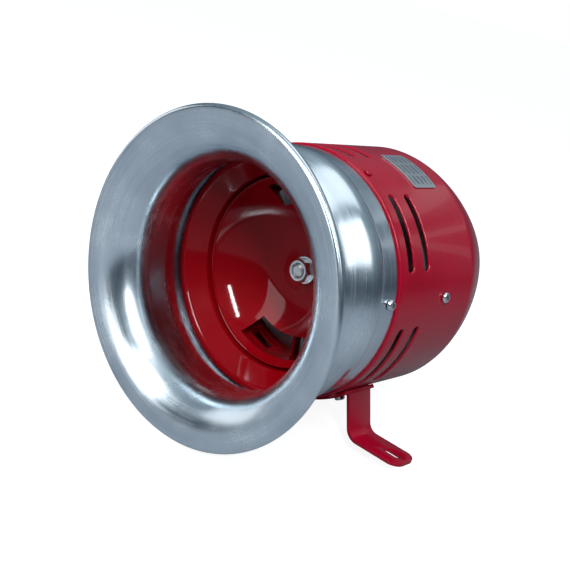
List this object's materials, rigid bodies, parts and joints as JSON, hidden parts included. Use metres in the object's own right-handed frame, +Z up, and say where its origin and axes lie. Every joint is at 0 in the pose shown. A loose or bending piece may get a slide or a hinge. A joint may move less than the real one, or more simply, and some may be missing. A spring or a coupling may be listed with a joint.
{
  "type": "alarm siren",
  "caption": "Motor-driven alarm siren: flared spun-metal bell, slotted red drum with a tapered tail, rotor turned by a series motor, and a splayed strap foot.",
  "frame": {"origin": "middle of the whole siren's box in X and Y, at its lowest point, which is the bell rim", "axes": "+Y runs from the bell's mouth to the tail along the siren's axis, +Z is up, +X is to the right when looking along +Y"},
  "size_m": [0.196, 0.2594, 0.19],
  "materials": {
    "spun_zinc": "satin spun and zinc plated",
    "red_enamel": "gloss red enamel",
    "bright_steel": "bright zinc plated",
    "dark_steel": "dark pressed steel",
    "lamination_steel": "varnished steel laminations",
    "enamelled_copper": "enamelled copper wire",
    "carbon": "matt carbon",
    "brass": "plain brass",
    "black_rubber": "matt black rubber",
    "white_plastic": "matt off-white plastic",
    "cast_aluminium": "as cast",
    "label_foil": "silver foil, blank"
  },
  "bodies": {
    "siren_body": {"body_screw_1": "bright_steel", "body_screw_2": "bright_steel", "body_screw_3": "bright_steel", "brush_holder_left": "brass", "brush_holder_right": "brass", "brush_spring_left": "bright_steel", "brush_spring_right": "bright_steel", "cable_grommet": "black_rubber", "carbon_brush_left": "carbon", "carbon_brush_right": "carbon", "cover_screw_left": "bright_steel", "cover_screw_right": "bright_steel", "field_coil_left": "enamelled_copper", "field_coil_right": "enamelled_copper", "foot_bracket": "red_enamel", "front_bearing": "bright_steel", "horn": "spun_zinc", "horn_screw_1": "bright_steel", "horn_screw_2": "bright_steel", "horn_screw_3": "bright_steel", "housing": "red_enamel", "motor_front_bracket": "cast_aluminium", "motor_rear_bracket": "cast_aluminium", "rating_label": "label_foil", "rear_bearing": "bright_steel", "rear_cover": "dark_steel", "saddle_screw_left": "bright_steel", "saddle_screw_right": "bright_steel", "stator_core": "lamination_steel", "stator_port_ring": "red_enamel", "stator_rivet_1": "red_enamel", "stator_rivet_2": "red_enamel", "stator_rivet_3": "red_enamel", "terminal_block": "white_plastic", "throat_ring": "red_enamel", "tie_bolt_lower": "dark_steel", "tie_bolt_upper": "dark_steel", "tie_nut_lower": "dark_steel", "tie_nut_upper": "dark_steel"},
    "rotor": {"impeller": "red_enamel", "shaft": "bright_steel", "shaft_washer": "bright_steel", "shaft_nut": "bright_steel", "armature_core": "lamination_steel", "armature_winding_front": "enamelled_copper", "armature_winding_rear": "enamelled_copper", "commutator": "enamelled_copper"}
  },
  "joints": [
    {"name": "rotor_spin", "type": "hinge", "parent": "siren_body", "child": "rotor", "pos_m": [0, 0, 0.095], "axis": [0, 1, 0], "continuous": true}
  ]
}
